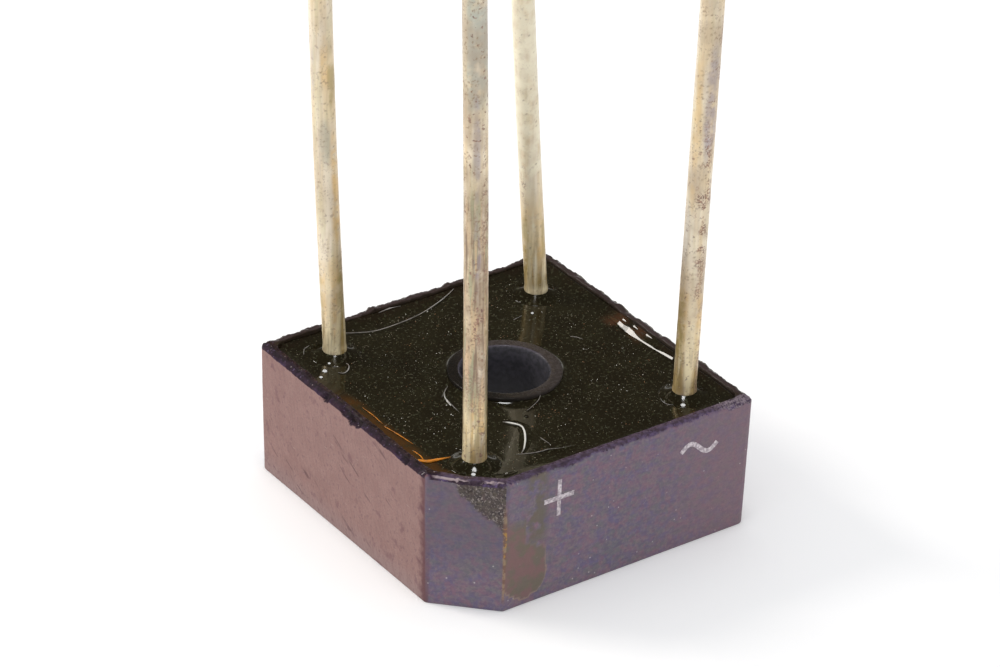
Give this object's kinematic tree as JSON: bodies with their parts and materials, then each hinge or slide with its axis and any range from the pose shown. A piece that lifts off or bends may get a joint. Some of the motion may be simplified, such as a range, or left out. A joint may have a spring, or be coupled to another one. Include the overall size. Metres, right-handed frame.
{
  "type": "bridge rectifier",
  "caption": "Square resin-filled bridge rectifier with a chamfered positive corner, a central screw hole and long round wire leads standing up from the open face.",
  "frame": {"origin": "middle of the closed flat face, on the axis of the screw hole", "axes": "+Z out of the open face along the leads, +X and +Y square to the case's sides, the chamfered positive corner at -X -Y"},
  "size_m": [0.0152, 0.0152, 0.0275],
  "materials": {
    "case": "matte moulded thermoset, mauve-brown, with fine grain, scuffs and resin smears",
    "resin": "glossy casting resin, almost black with an olive cast, full of fine pale specks",
    "lead_wire": "tinned copper wire, pale gold, with tarnish spots and pits",
    "copper": "plain copper sheet, hidden in the resin",
    "solder": "dull soft solder, hidden in the resin",
    "silicon": "smooth dark grey silicon, hidden in the resin"
  },
  "bodies": {
    "root": {"case": "case", "potting": "resin", "lead_positive": "lead_wire", "lead_ac_1": "lead_wire", "lead_negative": "lead_wire", "lead_ac_2": "lead_wire", "plate_positive": "copper", "plate_ac_1": "copper", "plate_negative": "copper", "plate_ac_2": "copper", "lead_solder_positive": "solder", "lead_solder_ac_1": "solder", "lead_solder_negative": "solder", "lead_solder_ac_2": "solder", "diode_chip_1": "silicon", "diode_chip_2": "silicon", "diode_chip_3": "silicon", "diode_chip_4": "silicon", "chip_solder_low_1": "solder", "chip_solder_low_2": "solder", "chip_solder_low_3": "solder", "chip_solder_low_4": "solder", "chip_solder_high_1": "solder", "chip_solder_high_2": "solder", "chip_solder_high_3": "solder", "chip_solder_high_4": "solder"}
  },
  "joints": []
}
